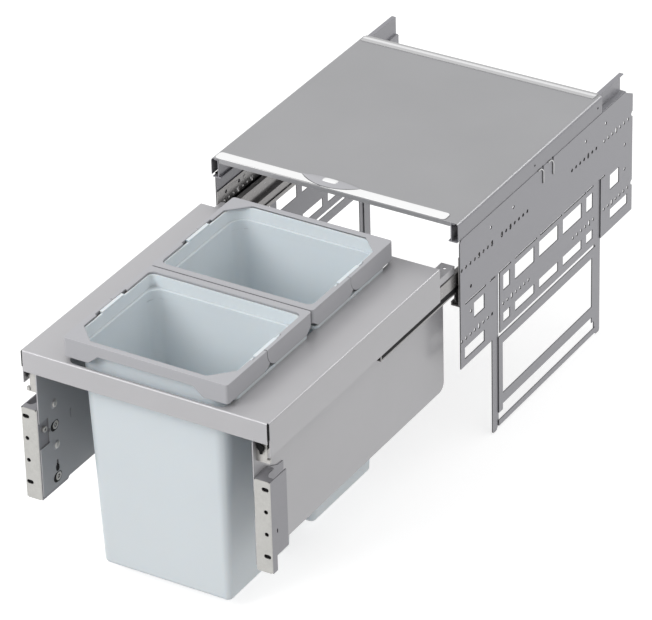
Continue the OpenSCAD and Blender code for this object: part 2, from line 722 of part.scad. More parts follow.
// Space kept by the half whose pivot is at dir * pivot_off: dir = -1 is the outer half.
// On the sides where it is whole its end is a full disc; on the other it gives way to that disc.
module arm_profile(dir, whole) {
    difference() {
        union() {
            rect(dir > 0 ? pivot_off : -ring_l, 0, dir > 0 ? ring_l : -pivot_off, ring_top + 1);
            difference() {
                translate([dir * pivot_off, pivot_h]) circle(arm_r);
                if (!whole) difference() {
                    rect(-ring_w, pivot_h, ring_w, ring_w);
                    translate([dir * pivot_off, pivot_h]) circle(pivot_off - split_off);
                }
            }
        }
        if (!whole) translate([-dir * pivot_off, pivot_h]) circle(arm_r + arm_gap);
    }
}
module bail(dir) {
    color("#b9b6ae") difference() {
        intersection() {
            difference() {
                union() {
                    ring_shell();
                    cheeks();
                }
                // The inner edge gives way to the ears
                translate([-arm_in, -notch_half, 0]) cube([2 * arm_in, 2 * notch_half, ring_top + 1]);
            }
            union() for (right = [false, true]) on_side(right)
                rotate([90, 0, 90]) linear_extrude(ring_w) arm_profile(dir, right == (dir > 0));
        }
        for (s = [-1, 1]) translate([0, dir * pivot_off, pivot_h]) rotate([0, 90 * s, 0])
            translate([0, 0, arm_in - 1]) cylinder(d = pin_d + 0.1, h = pin_end + 0.2 - arm_in + 1);
    }
}
module at_front_bin() { translate([0, bin_front_y, 0]) children(); }
module at_rear_bin() { translate([0, bin_rear_y, 0]) rotate([0, 0, 180]) children(); }

// TOP RAIL: channel on the plate's top edge, open outwards
module top_rail() {
    color("silver") difference() {
        xz_bar(lid_y, top_rail_l) {
            rect(top_rail_out - top_rail_w, rail_seat, top_rail_out - top_rail_w + plate_t, rail_top);
            rect(top_rail_out - top_rail_w, rail_top - plate_t, lid_w / 2 - lid_bend, rail_top);
            rect(top_rail_out - top_rail_w - 3, rail_seat, top_rail_out, rail_seat + plate_t);
        }
        for (y = clip_y) translate([plate_in - 0.2, frame_y + y - 0.2, rail_seat - 1])
            cube([plate_t + 1, clip_w + 0.4, plate_t + 2]);
    }
}
// Hooks that lie in the plate's notches, flush with its outer face, and hold the rail's lower flange
module rail_clips() {
    hook = rail_seat + plate_t;
    for (y = clip_y) translate([0, frame_y + y, 0]) color("silver") xz_bar(0, clip_w) {
        rect(plate_in, clip_low, frame_w / 2, hook + eps);
        rect(frame_w / 2 - 7, hook, frame_w / 2, hook + 1);
    }
}

// LID: sheet with folded sides and a short folded front edge
module lid() {
    front_half = top_rail_out - top_rail_w - 0.5;
    front_h = 6.5;
    color("darkgray") {
        translate([0, 0, lid_top]) xz_bar(lid_y, lid_d) folded_2d(lid_w / 2, lid_fold, lid_t, lid_bend);
        translate([-front_half, lid_y, lid_top - front_h]) cube([2 * front_half, lid_t, front_h - eps]);
    }
}
grip_sag_r = (grip_w * grip_w / 4 + grip_d * grip_d) / (2 * grip_d);
// Tongue outline: a circular segment whose chord lies on the strip's rear edge
module grip_2d(grow) {
    intersection() {
        translate([grip_off, lid_y + strip_w - grip_d + grip_sag_r]) circle(grip_sag_r + grow, $fn = 96);
        rect(-lid_w / 2, lid_y - 1, lid_w / 2, lid_y + strip_w + 1);
    }
}
module lid_front_strip() {
    half = lid_w / 2 - lid_bend - abs(strip_off);
    color("white") translate([0, 0, lid_top]) linear_extrude(strip_t) difference() {
        round_rect(strip_off - half, lid_y + 0.4, strip_off + half, lid_y + strip_w, 5);
        grip_2d(run_gap);
    }
}
module lid_grip() {
    inlay = [19, 8];
    color("gray") translate([0, 0, lid_top]) difference() {
        linear_extrude(strip_t + 0.6) grip_2d(0);
        translate([grip_off - inlay[0] / 2, lid_y + strip_w - 11, strip_t + 0.2])
            cube([inlay[0], inlay[1], 1]);
    }
}
module lid_rear_strip() {
    rib = 2;
    strip_d = 12;
    color("white") translate([0, lid_y + lid_d - strip_d, lid_top]) rotate([90, 0, 90])
        translate([0, 0, -lid_w / 2 + lid_bend + 1]) linear_extrude(lid_w - 2 * lid_bend - 2) {
            rect(0, 0, strip_d, 0.8);
            for (i = [0 : 2]) rect(i * (strip_d - rib) / 2, 0, i * (strip_d - rib) / 2 + rib, 1.8);
        }
}
module lid_glide() {
    color("#202020") translate([0, lid_y + lid_d - glide_l - 5, 0])
        xz_bar(0, glide_l) difference() {
            rect(top_rail_out - top_rail_w + plate_t + run_gap, lid_low + 0.3,
                lid_w / 2 - lid_t, lid_top - lid_bend - run_gap);
            rect(top_rail_out - top_rail_w + plate_t + run_gap + 3, lid_low + 4,
                lid_w / 2 - lid_t - 2, rail_top - plate_t - 5);
        }
}

place() on_side(false) side_plate();  // side_plate_left
place() on_side(true) side_plate();  // side_plate_right
place() on_side(false) leg_frame();  // leg_frame_left
place() on_side(true) leg_frame();  // leg_frame_right
place() on_side(false) cabinet_rail();  // cabinet_rail_left
place() on_side(true) cabinet_rail();  // cabinet_rail_right
place() on_side(false) rail_buffer();  // rail_buffer_left
place() on_side(true) rail_buffer();  // rail_buffer_right
place() on_side(false) top_rail();  // top_rail_left
place() on_side(true) top_rail();  // top_rail_right
place() on_side(false) rail_clips();  // rail_clips_left
place() on_side(true) rail_clips();  // rail_clips_right
place() on_side(false) middle_rail();  // middle_rail_left
place() on_side(true) middle_rail();  // middle_rail_right
place() on_side(false) runner();  // runner_left
place() on_side(true) runner();  // runner_right
place() deck();
place() on_side(false) deck_hanger();  // deck_hanger_left
place() on_side(true) deck_hanger();  // deck_hanger_right
place() on_side(false) drawer_side();  // drawer_side_left
place() on_side(true) drawer_side();  // drawer_side_right
place() on_side(false) rollers();  // rollers_left
place() on_side(true) rollers();  // rollers_right
place() on_side(false) catch();  // catch_left
place() on_side(true) catch();  // catch_right
place() on_side(false) front_bracket();  // front_bracket_left
place() on_side(true) front_bracket();  // front_bracket_right
place() on_side(false) adjuster();  // adjuster_left
place() on_side(true) adjuster();  // adjuster_right
place() at_front_bin() bin_body();  // bin_front
place() at_rear_bin() bin_body();  // bin_rear
place() at_front_bin() bail(-1);  // bail_front_outer
place() at_front_bin() bail(1);  // bail_front_inner
place() at_rear_bin() bail(-1);  // bail_rear_outer
place() at_rear_bin() bail(1);  // bail_rear_inner
place() lid();
place() lid_front_strip();
place() lid_rear_strip();
place() lid_grip();
place() on_side(false) lid_glide();  // lid_glide_left
place() on_side(true) lid_glide();  // lid_glide_right
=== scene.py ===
import bmesh
import bpy
import json
import math
from mathutils import Matrix, Vector


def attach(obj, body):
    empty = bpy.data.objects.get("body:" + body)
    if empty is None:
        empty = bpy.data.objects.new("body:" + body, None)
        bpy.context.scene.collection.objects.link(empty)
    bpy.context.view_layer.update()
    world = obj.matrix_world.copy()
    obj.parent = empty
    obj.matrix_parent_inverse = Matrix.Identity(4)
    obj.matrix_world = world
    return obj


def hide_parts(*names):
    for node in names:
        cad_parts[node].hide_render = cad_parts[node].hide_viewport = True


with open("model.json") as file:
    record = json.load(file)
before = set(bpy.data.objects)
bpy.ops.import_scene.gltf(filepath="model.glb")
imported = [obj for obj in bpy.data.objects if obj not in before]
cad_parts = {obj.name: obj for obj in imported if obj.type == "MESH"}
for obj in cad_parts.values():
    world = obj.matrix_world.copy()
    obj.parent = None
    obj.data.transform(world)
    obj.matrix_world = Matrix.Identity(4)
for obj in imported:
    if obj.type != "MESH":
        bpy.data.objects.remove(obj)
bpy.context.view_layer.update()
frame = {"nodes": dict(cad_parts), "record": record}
NODES = frame["nodes"]
SLOT = {s["node"]: s["material_slot"] for s in frame["record"]["subparts"]}
MM = 0.001

# ---------------------------------------------------------------- camera
# The photograph's viewpoint: direction, roll, place and focal length
AZ, EL, ROLL = math.radians(31.6176), math.radians(30.9176), math.radians(-1.6078)
EYE = Vector((2.5409, -4.1635, 3.1008))
LENS, SENSOR = 243.32, 36.0
CLIP_END = 60.0


def add_camera():
    back = Vector((math.sin(AZ) * math.cos(EL), -math.cos(AZ) * math.cos(EL), math.sin(EL)))
    right0 = Vector((math.cos(AZ), math.sin(AZ), 0.0))
    up0 = back.cross(right0)
    right = math.cos(ROLL) * right0 + math.sin(ROLL) * up0
    up = -math.sin(ROLL) * right0 + math.cos(ROLL) * up0
    data = bpy.data.cameras.new("camera")
    data.lens, data.sensor_width, data.clip_end = LENS, SENSOR, CLIP_END
    cam = bpy.data.objects.new("camera", data)
    pose = Matrix((right, up, back)).transposed().to_4x4()
    pose.translation = EYE
    cam.matrix_world = pose
    bpy.context.scene.collection.objects.link(cam)
    bpy.context.scene.camera = cam


# ---------------------------------------------------------------- shader nodes
# Sockets of the Mix node for numbers and for colours: first input, second input, output
MIX_SOCKETS = {"FLOAT": (2, 3, 0), "RGBA": (6, 7, 2)}


def material(name):
    m = bpy.data.materials.new(name)
    m.use_nodes = True
    return m, m.node_tree, m.node_tree.nodes["Principled BSDF"]


def node(t, kind, values=None, links=None):
    """New shader node with constants and links by input socket."""
    n = t.nodes.new("ShaderNode" + kind)
    for socket, value in (values or {}).items():
        n.inputs[socket].default_value = value
    for socket, source in (links or {}).items():
        t.links.new(source, n.inputs[socket])
    return n


def mix(t, kind, factor, first, second, blend="MIX"):
    """Mix of two numbers or colours, each a constant or another node's output."""
    n = t.nodes.new("ShaderNodeMix")
    n.data_type, n.blend_type = kind, blend
    a, b, out = MIX_SOCKETS[kind]
    for socket, value in ((0, factor), (a, first), (b, second)):
        if isinstance(value, bpy.types.NodeSocket):
            t.links.new(value, n.inputs[socket])
        else:
            n.inputs[socket].default_value = value
    return n.outputs[out]


def noise(t, scale, detail=2.0, rough=0.5, stretch=(1, 1, 1)):
    place = node(t, "TexCoord").outputs["Object"]
    mapping = node(t, "Mapping", {"Scale": stretch}, {"Vector": place})
    n = node(t, "TexNoise", {"Scale": scale, "Detail": detail, "Roughness": rough},
             {"Vector": mapping.outputs["Vector"]})
    return n.outputs["Fac"]


def map_range(t, source, start, end, low=0.0, high=1.0):
    limits = {"From Min": start, "From Max": end, "To Min": low, "To Max": high}
    return node(t, "MapRange", limits, {"Value": source}).outputs["Result"]


def axis_of(t, kind, axis):
    """One axis of the surface's place ("Object") or direction ("Normal"), without its sign for X."""
    vector = node(t, "TexCoord").outputs[kind]
    source = node(t, "SeparateXYZ", links={"Vector": vector}).outputs[axis]
    if axis != "X":
        return source
    size = node(t, "Math", links={0: source})
    size.operation = "ABSOLUTE"
    return size.outputs[0]


def cloudy(t, source, color, darker, lighter):
    """Colour that drifts between a darker and a lighter tone with the noise."""
    r = node(t, "ValToRGB", links={"Fac": source})
    for stop, place, factor in zip(r.color_ramp.elements, (0.3, 0.7), (1 - darker, 1 + lighter)):
        stop.position = place
        stop.color = (*(min(1, c * factor) for c in color), 1)
    return r.outputs["Color"]


def bump(t, shader, source, strength, distance):
    b = node(t, "Bump", {"Strength": strength, "Distance": distance}, {"Height": source})
    t.links.new(b.outputs["Normal"], shader.inputs["Normal"])


# Reach in metres of the shade in a gap, and the range of openness over which it fades
CREVICE_REACH, CREVICE_FADE = 0.010, (0.15, 0.85)


def crevice_shade_colour(t, shader, source, low):
    """Base colour with painted shade: darker in narrow gaps and inner corners, where shade falls."""
    ao = node(t, "AmbientOcclusion", {"Distance": CREVICE_REACH})
    ao.samples = 8
    shade = map_range(t, ao.outputs["AO"], *CREVICE_FADE, low)
    t.links.new(mix(t, "RGBA", 1.0, source, shade, "MULTIPLY"), shader.inputs["Base Color"])


# ---------------------------------------------------------------- materials
COAT_CLOUD, COAT_SHADE = 0.03, 0.35
# Painted shade on the cut edges sets in as the X part of the normal falls between these values
CUT_EDGE = (0.9, 0.4)       # the X part of the normal, from the sheet's faces to its cut edges


def powder_coat(name, color, coat=0.5, coat_rough=0.16, side_shade=None, edge=None):
    """Powder-coated sheet: orange-peel skin, faint clouds and a clear top coat.

    An optional second, darker colour, with the distances from the middle between which it sets in, is
    painted shade on the side faces;
    an optional colour of the cut edges of a sheet that faces left and right is painted shade on those
    edges.
    """
    m, t, shader = material(name)
    cloud = noise(t, 9.0, 3.0)
    tone = cloudy(t, cloud, color, COAT_CLOUD, COAT_CLOUD)
    # Painted shade: the side faces take a darker colour, where less light falls on them
    if side_shade:
        tone = mix(t, "RGBA", map_range(t, axis_of(t, "Object", "X"), *side_shade[1]), tone, (*side_shade[0], 1))
    # Painted shade: cut edges and hole walls take a dark colour
    if edge:
        tone = mix(t, "RGBA", map_range(t, axis_of(t, "Normal", "X"), *CUT_EDGE), tone, (*edge, 1))
    # Painted shade in gaps and inner corners
    crevice_shade_colour(t, shader, tone, COAT_SHADE)
    t.links.new(map_range(t, cloud, 0.0, 1.0, 0.36, 0.46), shader.inputs["Roughness"])
    shader.inputs["Metallic"].default_value = 0.25
    shader.inputs["Coat Weight"].default_value = coat
    shader.inputs["Coat Roughness"].default_value = coat_rough
    bump(t, shader, noise(t, 900.0, 2.0, 0.6), 0.06, 0.0004)
    return m


def galvanised(name, color, rough=(0.28, 0.42), wing=None):
    """Zinc-plated steel: mottled patches and fine rolling lines along the sheet.

    wing gives a second, darker colour, painted shade on the faces behind the front plane, and the
    distances along Y between which it sets in.
    """
    m, t, shader = material(name)
    patches = noise(t, 160.0, 4.0, 0.65)
    lines = noise(t, 60.0, 3.0, 0.6, (14, 1.2, 14))
    mottle = mix(t, "FLOAT", 0.45, patches, lines)
    tone = cloudy(t, mottle, color, 0.12, 0.07)
    # Painted shade: the faces behind the front plane take a darker colour
    if wing:
        tone = mix(t, "RGBA", map_range(t, axis_of(t, "Object", "Y"), *wing[1]), tone, (*wing[0], 1))
    # Painted shade in gaps and inner corners
    crevice_shade_colour(t, shader, tone, COAT_SHADE)
    t.links.new(map_range(t, mottle, 0.0, 1.0, *rough), shader.inputs["Roughness"])
    shader.inputs["Metallic"].default_value = 0.55
    bump(t, shader, mottle, 0.08, 0.0003)
    return m


def moulded(name, color, rough, grain=0.05, vary=0.02, sss=0.0, gloss=0.5, shade=0.45):
    """Injection-moulded plastic: a spark-eroded grain and a slight flow variation."""
    m, t, shader = material(name)
    flow = noise(t, 7.0)
    # Painted shade in gaps and inner corners
    crevice_shade_colour(t, shader, cloudy(t, flow, color, vary, vary), shade)
    t.links.new(map_range(t, flow, 0.0, 1.0, *rough), shader.inputs["Roughness"])
    shader.inputs["Specular IOR Level"].default_value = gloss
    bump(t, shader, noise(t, 1500.0, 2.0, 0.6), grain, 0.0003)
    if sss:
        shader.inputs["Subsurface Weight"].default_value = sss
        shader.inputs["Subsurface Radius"].default_value = (0.6, 0.8, 1.0)
        shader.inputs["Subsurface Scale"].default_value = 0.004
    return m


# Painted light on the rear strip, from its front to its rear edge: a grey band, a pale bead that is a
# painted highlight and a darker edge that is painted shade:
# place, red and green, blue
LIGHT_BANDS = ((0.0, 0.50, 0.505), (0.30, 0.50, 0.505), (0.38, 0.74, 0.7474), (0.60, 0.74, 0.7474),
         (0.68, 0.45, 0.4545), (0.85, 0.42, 0.4242), (1.0, 0.42, 0.425))


def light_banded(name, front, rear):
    """Plastic with the rear strip's bands of painted highlight and shade between two distances along Y.
    """
    m, t, shader = material(name)
    across = map_range(t, axis_of(t, "Object", "Y"), front, rear)
    r = node(t, "ValToRGB", links={"Fac": across})
    stops = r.color_ramp.elements
    for place, _, _ in LIGHT_BANDS[1:-1]:
        stops.new(place)
    for stop, (_, grey, blue) in zip(stops, LIGHT_BANDS):
        stop.color = (grey, grey, blue, 1)
    t.links.new(r.outputs["Color"], shader.inputs["Base Color"])
    shader.inputs["Roughness"].default_value = 0.28
    return m


# ---------------------------------------------------------------- the part's dimensions
# Millimetres: across from the middle, back from the deck's front edge, up from the deck's top
MID_Y, DECK_Z = 460.9, 315.0
FRONT_Y = 455.0                     # front edge of the side plates
DECK_HALF = 177.0                   # half the deck's width
SIDE_IN, SIDE_OUT = 154.0, 155.5    # inner and outer face of a drawer side
PLATE_IN = 179.5                    # inner face of a side plate
LID_TOP = 47.4
CAD_STRIP = [v.co for v in NODES["lid_rear_strip"].data.vertices]
STRIP_REAR = max(p.y for p in CAD_STRIP) / MM + MID_Y
STRIP_HALF = max(p.x for p in CAD_STRIP) / MM
STRIP_FRONT, STRIP_D = STRIP_REAR - 15.0, 16.5


def at(x, y, z):
    return Vector((x * MM, (y - MID_Y) * MM, (z + DECK_Z) * MM))


# ---------------------------------------------------------------- finishes
COATED, PALE = (0.268, 0.266, 0.29), (0.448, 0.443, 0.457)
MAT = {
    "plate_steel": powder_coat("plate_steel", COATED),
    # Painted shade: the lid's folded sides take a darker colour than its top
    "lid_steel": powder_coat("lid_steel", (0.34, 0.34, 0.35), 0.35, 0.3,
                             side_shade=((0.27, 0.268, 0.29), (0.1805, 0.1822))),
    "deck_steel": powder_coat("deck_steel", PALE),
    "zinc": galvanised("zinc", (0.52, 0.51, 0.49)),
    "black_plastic": moulded("black_plastic", (0.006, 0.006, 0.0065), (0.45, 0.6), gloss=0.1),
    "bin_plastic": moulded("bin_plastic", (0.69, 0.74, 0.77), (0.3, 0.4), vary=0.012, sss=0.25),
    "bail_plastic": moulded("bail_plastic", (0.413, 0.414, 0.435), (0.36, 0.48)),
    "white_plastic": moulded("white_plastic", (0.86, 0.86, 0.86), (0.2, 0.3)),
    "grip_plastic": moulded("grip_plastic", (0.41, 0.41, 0.43), (0.26, 0.36)),
}
# Coated steel with painted shade on its cut edges and hole walls
PUNCHED_EDGE_SHADE = powder_coat("punched_steel", COATED, edge=(0.085, 0.085, 0.09))
# A darker copy of the zinc: painted shade for the rails, which lie in shade under the lid
SHADED_RAIL = galvanised("shaded_rail_steel", (0.36, 0.35, 0.345), (0.2, 0.32))
# Finishes that pieces have within their slot, by the start of the piece's name
FINISH = {
    "side_plate": PUNCHED_EDGE_SHADE,
    "leg_frame": PUNCHED_EDGE_SHADE,
    "cabinet_rail": SHADED_RAIL,
    "middle_rail": SHADED_RAIL,
    "runner": SHADED_RAIL,
    # The clips painted black: painted shade beside the bright wire ends
    "rail_clips": MAT["black_plastic"],
    # Plated face, and painted shade on the wing behind it
    "front_bracket": galvanised("bracket_steel", (0.50, 0.495, 0.475),
                                wing=((0.27, 0.268, 0.285), (-0.4643, -0.4639))),
    # Painted shade: darker on the inner face
    "drawer_side": powder_coat("side_steel", PALE, side_shade=((0.31, 0.318, 0.335), (0.1546, 0.1542))),
    # Pale steel wire made near-white: a painted highlight along the thin wire
    "clip_wires": moulded("clip_wire_highlight", (0.85, 0.85, 0.85), (0.16, 0.26), grain=0.01, shade=0.9),
    # Bands of painted highlight and shade across the rear strip
    "rear_strip_cap": light_banded("rear_strip_plastic", (STRIP_FRONT - MID_Y) * MM,
                             (STRIP_FRONT - MID_Y + STRIP_D) * MM),
}


def by_name(table, name, default):
    """Entry of the table whose key the name starts with."""
    return next((value for key, value in table.items() if name.startswith(key)), default)


def paint(obj, name, slot):
    obj.data.materials.clear()
    obj.data.materials.append(by_name(FINISH, name, MAT[slot]))


# ---------------------------------------------------------------- CAD nodes
# Width in millimetres of the softened edges, by the start of the node's name
EDGE = {"lid": 0.5, "deck": 0.55, "bail": 0.9, "bin": 0.7, "side_plate": 0.25, "leg": 0.35,
        "drawer_side": 0.3, "front_bracket": 0.35, "top_rail": 0.35}
OTHER_EDGE = 0.25
# Punched and folded sheet with flat faces keeps flat shading
SHEET = ("side_plate", "leg_frame", "cabinet_rail", "drawer_side", "top_rail", "front_bracket",
         "middle_rail", "deck_hanger", "catch")
WELD, FLAT, SHARP = 1e-5, math.radians(0.6), math.radians(32)


def bevel(obj, width):
    b = obj.modifiers.new("edge", "BEVEL")
    b.width, b.segments, b.limit_method, b.angle_limit = width * MM, 2, "ANGLE", SHARP
    return b


def soften(obj, width, sheet):
    """Breaks the sharp edges of a CAD node, as folding and moulding do."""
    obj.modifiers.new("weld", "WELD").merge_threshold = WELD
    if sheet:
        bevel(obj, width)
        return
    planar = obj.modifiers.new("planar", "DECIMATE")
    planar.decimate_type, planar.angle_limit = "DISSOLVE", FLAT
    bevel(obj, width).miter_outer = "MITER_ARC"
    normals = obj.modifiers.new("normals", "WEIGHTED_NORMAL")
    normals.keep_sharp, normals.weight = False, 60


for name, obj in NODES.items():
    sheet = name.startswith(SHEET)
    paint(obj, name, SLOT[name])
    for poly in obj.data.polygons:
        poly.use_smooth = not sheet
    soften(obj, by_name(EDGE, name, OTHER_EDGE), sheet)


# ---------------------------------------------------------------- shapes
def piece(name, slot, body, edge, smooth, shape, *args):
    """Object made by a shape function, with edges softened by a width in millimetres."""
    bm = bmesh.new()
    shape(bm, *args)
    bmesh.ops.recalc_face_normals(bm, faces=bm.faces)
    for f in bm.faces:
        f.smooth = smooth
    me = bpy.data.meshes.new(name)
    bm.to_mesh(me)
    bm.free()
    o = bpy.data.objects.new(name, me)
    bpy.context.scene.collection.objects.link(o)
    paint(o, name, slot)
    if edge:
        bevel(o, edge)
    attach(o, body)
    return o


def turn(n):
    return [2 * math.pi * i / n for i in range(n)]


def skin(bm, rows):
    """Faces between closed rows of vertices, each row joined to the next."""
    for low, high in zip(rows, rows[1:]):
        for i in range(len(low)):
            j = (i + 1) % len(low)
            bm.faces.new((low[i], low[j], high[j], high[i]))


def prism(bm, outline, place, ends):
    """Closed outline of points, pulled between two ends; place(point, end) gives each corner."""
    rows = [[bm.verts.new(place(p, end)) for p in outline] for end in ends]
    for row in rows:
        bm.faces.new(row)
    skin(bm, rows)


def extrude_x(bm, outline, *ends):
    """Outline of (y, z) points, pulled along x."""
    prism(bm, outline, lambda p, x: at(x, p[0], p[1]), ends)


def extrude_y(bm, outline, *ends):
    """Outline of (x, z) points, pulled along y."""
    prism(bm, outline, lambda p, y: at(p[0], y, p[1]), ends)


def mirrored(outline, k):
    """Outline of (x, z) points on the right (k = 1) or left (k = -1)."""
    return [(k * x, z) for x, z in outline]


OBLONG_HALF_STEPS = 12


def oblong(length, width, centre, upright=False):
    """Outline of a slot about its centre."""
    points = []
    for i in range(2 * OBLONG_HALF_STEPS):
        a = math.pi * (i + 0.5) / OBLONG_HALF_STEPS
        shift = math.copysign((length - width) / 2, math.cos(a))
        p = (width / 2 * math.cos(a) + shift, width / 2 * math.sin(a))
        if upright:
            p = (p[1], p[0])
        points.append((centre[0] + p[0], centre[1] + p[1]))
    return points


DOME_SIDES, DOME_RINGS, DOME_SHOULDER = 20, 5, 0.6


def dome(bm, centre, k, radius, height):
    """Pan head that stands on its centre and points left (k = -1) or right (k = 1)."""
    axis = Vector((k, 0, 0))
    u = axis.orthogonal().normalized()
    v = axis.cross(u)
    foot = at(*centre)
    rows = []
    for i in range(DOME_RINGS):
        rise = math.pi / 2 * i / DOME_RINGS
        r, h = radius * math.cos(rise) ** DOME_SHOULDER, height * math.sin(rise)
        rows.append([bm.verts.new(foot + (u * math.cos(a) + v * math.sin(a)) * r * MM + axis * h * MM)
                     for a in turn(DOME_SIDES)])
    top = bm.verts.new(foot + axis * height * MM)
    skin(bm, rows)
    last = rows[-1]
    for i in range(DOME_SIDES):
        bm.faces.new((last[i], last[(i + 1) % DOME_SIDES], top))
    bm.faces.new(rows[0][::-1])


WIRE_SIDES = 8


def wire(bm, path, x, radius):
    """Round wire along a path of (y, z) points at x, closed at both ends."""
    rows = []
    for i, (y, z) in enumerate(path):
        (ya, za), (yb, zb) = path[max(i - 1, 0)], path[min(i + 1, len(path) - 1)]
        length = math.hypot(yb - ya, zb - za)
        side_y, side_z = -(zb - za) / length, (yb - ya) / length
        row = []
        for a in turn(WIRE_SIDES):
            out, aside = radius * math.cos(a), radius * math.sin(a)
            row.append(bm.verts.new(at(x + out, y + side_y * aside, z + side_z * aside)))
        rows.append(row)
    skin(bm, rows)
    bm.faces.new(rows[0])
    bm.faces.new(rows[-1])


# ---------------------------------------------------------------- small pieces of each side
# Radius and height of the screws' and rivets' heads
CAM_HEAD, SEAT_HEAD, LID_HEAD, RAIL_HEAD = (2.3, 1.1), (4.9, 2.2), (1.5, 0.35), (3.2, 0.7)

BACKING_Y, BACKING_Z, BACKING_CUT = (-1.7, 0.8), (-207, -84), 2
BOSS, BOSS_X, BOSS_Y, BOSS_Z = (13, 10), 172.0, (-2.4, 2.6), (-91.5, -123.5, -155.5, -187.5)


def bracket_backing(bm, k):
    """Black plate with raised screw bosses behind the face of the door bracket, which also stands in as
    painted shade behind the face's holes.
    """
    inner, outer = SIDE_OUT + 2.2, PLATE_IN - 2.6
    low, high = BACKING_Z
    outline = ((inner, low), (outer, low), (outer, high - BACKING_CUT), (outer - BACKING_CUT, high),
               (inner + BACKING_CUT, high), (inner, high - BACKING_CUT))
    extrude_y(bm, mirrored(outline, k), *BACKING_Y)
    for z in BOSS_Z:
        extrude_y(bm, oblong(*BOSS, (k * BOSS_X, z)), *BOSS_Y)


CAM_Y, CAM_Z, SEAT_Z = 31.0, (-118.0, -193.0), (-87.0, -147.0)
CAM_SHADE_DISC, SLOT_SHADE, SLOT_SHADE_Z = (17.0, 13.4), (10.0, 7.0), -180.5


def cam_washers(bm, k):
    """Black discs in the cams' openings, painted shade around the cams, and a black piece in the slot
    under the lower one, painted shade in that slot.
    """
    end = k * (SIDE_OUT - 0.05)
    for z in CAM_Z:
        extrude_x(bm, oblong(*CAM_SHADE_DISC, (CAM_Y - 1.6, z - 0.8)), k * (SIDE_IN - 0.35), end)
    extrude_x(bm, oblong(*SLOT_SHADE, (CAM_Y - 0.5, SLOT_SHADE_Z), True), k * (SIDE_IN - 0.3), end)


def cam_screws(bm, k):
    """Screws in the adjusting cams."""
    for z in CAM_Z:
        dome(bm, (k * (SIDE_IN + 0.6), CAM_Y, z), -k, *CAM_HEAD)


def seat_rivets(bm, k):
    """Blind rivets in the pressed seats of the drawer side."""
    for z in SEAT_Z:
        dome(bm, (k * (SIDE_IN - 0.7), CAM_Y, z), -k, *SEAT_HEAD)


SLIT_SHADE_Y, SLIT_SHADE_LIP_Y = (1.3, 2.3), (0.35, 1.4)


def corner_guard(bm, k):
    """Black piece in the slit between the deck's front and side flanges, with a lip in front: painted
    shade in the slit.
    """
    inner, outer = DECK_HALF - 2.3, DECK_HALF - 0.35
    slit_block = ((inner - 3, -24), (outer, -24), (outer, -1.6), (inner, -1.4), (inner - 3, -1.8))
    lip = ((inner, -23.4), (outer, -23.4), (outer, -1.6), (inner, -1.4))
    extrude_y(bm, mirrored(slit_block, k), *SLIT_SHADE_Y)
    extrude_y(bm, mirrored(lip, k), *SLIT_SHADE_LIP_Y)


CHANNEL_SHADE = ((173.7, -57.2), (174.25, -56.8), (174.25, -49.4), (173.7, -49.0))
CHANNEL_SHADE_Y = (270, 688)


def rail_liner(bm, k):
    """Black strip in the lower channel of the middle rail, painted shade on the channel's downward-facing
    face, which leaves the rolled lip bare.
    """
    extrude_y(bm, mirrored(CHANNEL_SHADE, k), *CHANNEL_SHADE_Y)


LATCH_Y = (3.0, 4.6)
LATCH = {1: ((157.2, -31.5), (162.5, -31.0), (163.0, -34.0), (167.0, -36.5), (167.5, -42.0),
             (164.5, -43.0), (165.0, -47.5), (161.5, -48.5), (160.5, -43.5), (157.2, -40.5)),
         -1: ((169.5, -31.0), (173.5, -31.0), (173.5, -37.5), (171.5, -39.5), (169.5, -36.0))}


def latch(bm, k):
    """Black latch of the catch, in front of its end plate."""
    extrude_y(bm, mirrored(LATCH[k], k), *LATCH_Y)


CLIP_Y, CLIP_X, CLIP_R = (674.1, 701.1), 182.0, 0.95
CLIP_BEND_R, CLIP_BEND_Z, CLIP_BEND_STEPS = 10.0, 9.0, 8


def clip_wires(bm, k):
    """Wire ends of the rail clips, bent over on the plate's outer face."""
    for y in CLIP_Y:
        path = [(y, z) for z in (-5.0, 0.0, 5.0, CLIP_BEND_Z)]
        for i in range(1, CLIP_BEND_STEPS + 1):
            a = math.pi / 2 * i / CLIP_BEND_STEPS
            path.append((y - CLIP_BEND_R * (1 - math.cos(a)), CLIP_BEND_Z + CLIP_BEND_R * math.sin(a)))
        path.append((y - CLIP_BEND_R - 4.0, CLIP_BEND_Z + CLIP_BEND_R))
        wire(bm, path, k * CLIP_X, CLIP_R)


GAP_SHADE = ((178.9, 20.7), (180.9, 20.7), (180.9, 22.1), (178.9, 22.6))
GAP_SHADE_END = 830


def rail_seal(bm, k):
    """Dark strip that fills the gap between the rail's lower flange and the lid's folded side: painted
    shade in the gap.
    """
    extrude_y(bm, mirrored(GAP_SHADE, k), FRONT_Y, GAP_SHADE_END)


LID_SIDE, LID_RIVETS = 182.5, ((649.4, 33.0), (822.6, 34.0))


def lid_rivets(bm, k):
    """Dark blind rivets in the lid's folded sides."""
    for y, z in LID_RIVETS:
        dome(bm, (k * LID_SIDE, y, z), k, *LID_HEAD)


RAIL_SIDE, RAIL_Z, RAIL_RIVETS = 178.0, -15.0, (66.0, 156.0, 246.0, 336.0)


def rail_rivets(bm, k):
    """Pan-head rivets that hold the cabinet rail on the plate, seen from inside."""
    for y in RAIL_RIVETS:
        dome(bm, (k * RAIL_SIDE, FRONT_Y + y, RAIL_Z), -k, *RAIL_HEAD)


